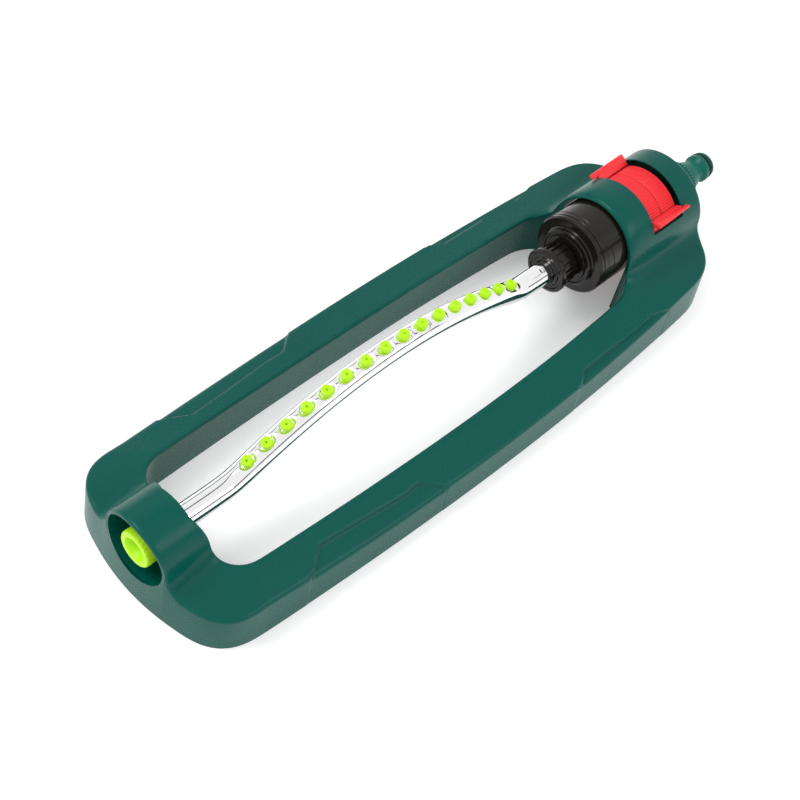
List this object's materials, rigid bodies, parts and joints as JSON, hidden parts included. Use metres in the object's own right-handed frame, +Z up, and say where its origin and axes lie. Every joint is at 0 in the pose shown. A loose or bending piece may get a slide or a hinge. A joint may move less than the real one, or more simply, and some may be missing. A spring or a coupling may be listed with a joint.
{
  "type": "oscillating lawn sprinkler",
  "caption": "Oscillating lawn sprinkler: green sled frame, arched swinging spray tube with a row of nozzles, geared water motor, stop rings and hose nipple.",
  "frame": {"origin": "on the ground, at the centre of the sprinkler's length and width", "axes": "+X from the plugged end of the spray tube to the hose nipple, +Z up, +Y to the far side"},
  "size_m": [0.4275, 0.125, 0.0735],
  "materials": {
    "frame_plastic": "green moulded plastic, soft satin gloss",
    "connector_plastic": "bright green moulded plastic, satin",
    "motor_plastic": "black moulded plastic, glossy",
    "tube_metal": "bright drawn tube, nearly mirror",
    "nozzle_plastic": "lime moulded plastic",
    "stop_plastic": "red moulded plastic, ribbed grips",
    "gear_plastic": "off-white acetal",
    "seal_rubber": "soft black seal rubber",
    "steel": "bright stainless steel"
  },
  "bodies": {
    "base": {"sled_frame": "frame_plastic", "front_bush": "motor_plastic", "inlet_spindle": "motor_plastic", "fixed_gear": "gear_plastic", "hose_connector": "connector_plastic", "connector_washer": "seal_rubber", "connector_o_ring": "seal_rubber", "inlet_filter": "steel"},
    "oscillator": {"spray_tube": "tube_metal", "nozzle_01": "nozzle_plastic", "nozzle_02": "nozzle_plastic", "nozzle_03": "nozzle_plastic", "nozzle_04": "nozzle_plastic", "nozzle_05": "nozzle_plastic", "nozzle_06": "nozzle_plastic", "nozzle_07": "nozzle_plastic", "nozzle_08": "nozzle_plastic", "nozzle_09": "nozzle_plastic", "nozzle_10": "nozzle_plastic", "nozzle_11": "nozzle_plastic", "nozzle_12": "nozzle_plastic", "nozzle_13": "nozzle_plastic", "nozzle_14": "nozzle_plastic", "nozzle_15": "nozzle_plastic", "nozzle_16": "nozzle_plastic", "tube_seal": "seal_rubber", "collar_nut": "motor_plastic", "capsule_front_cap": "motor_plastic", "capsule_shell": "motor_plastic", "capsule_rear_cap": "motor_plastic", "cap_screw_1": "steel", "cap_screw_2": "steel", "cap_screw_3": "steel", "spindle_seal": "seal_rubber", "front_gear_plate": "motor_plastic", "rear_gear_plate": "motor_plastic", "centre_shaft": "steel", "offset_shaft": "steel", "trip_spring": "steel"},
    "turbine_wheel": {"turbine": "gear_plastic"},
    "first_gear_wheel": {"first_gear": "gear_plastic"},
    "second_gear_wheel": {"second_gear": "gear_plastic"},
    "third_gear_wheel": {"third_gear": "gear_plastic"},
    "lever": {"trip_lever": "gear_plastic"},
    "far_stop": {"limit_ring_far": "stop_plastic"},
    "near_stop": {"limit_ring_near": "stop_plastic"},
    "plug": {"end_plug": "nozzle_plastic", "plug_o_ring": "seal_rubber"}
  },
  "joints": [
    {"name": "tube_swing", "type": "hinge", "parent": "base", "child": "oscillator", "pos_m": [0, 0, 0.0369], "axis": [1, 0, 0], "range_deg": [-50, 50]},
    {"name": "third_gear_spin", "type": "hinge", "parent": "oscillator", "child": "third_gear_wheel", "pos_m": [0.116, 0, 0.0479], "axis": [1, 0, 0], "range_deg": [-151, 151]},
    {"name": "second_gear_spin", "type": "hinge", "parent": "oscillator", "child": "second_gear_wheel", "pos_m": [0.112, 0, 0.0369], "axis": [1, 0, 0], "range_deg": [-452, 452]},
    {"name": "first_gear_spin", "type": "hinge", "parent": "oscillator", "child": "first_gear_wheel", "pos_m": [0.109, 0, 0.0479], "axis": [1, 0, 0], "range_deg": [-1354, 1354]},
    {"name": "turbine_spin", "type": "hinge", "parent": "oscillator", "child": "turbine_wheel", "pos_m": [0.103, 0, 0.0369], "axis": [1, 0, 0], "range_deg": [-4060, 4060]},
    {"name": "lever_tip", "type": "hinge", "parent": "oscillator", "child": "lever", "pos_m": [0.15, 0, 0.0259], "axis": [1, 0, 0], "range_deg": [-10, 10]},
    {"name": "far_stop_turn", "type": "hinge", "parent": "base", "child": "far_stop", "pos_m": [0.14, 0, 0.0369], "axis": [1, 0, 0], "range_deg": [0, 45]},
    {"name": "near_stop_turn", "type": "hinge", "parent": "base", "child": "near_stop", "pos_m": [0.15, 0, 0.0369], "axis": [1, 0, 0], "range_deg": [-45, 0]},
    {"name": "plug_pull", "type": "slide", "parent": "oscillator", "child": "plug", "axis": [-1, 0, 0], "range_m": [0, 0.03]}
  ],
  "couplings": [
    {"joint": "third_gear_spin", "follows": "tube_swing", "ratio": 3},
    {"joint": "second_gear_spin", "follows": "tube_swing", "ratio": -9},
    {"joint": "first_gear_spin", "follows": "tube_swing", "ratio": 27},
    {"joint": "turbine_spin", "follows": "tube_swing", "ratio": -81}
  ]
}
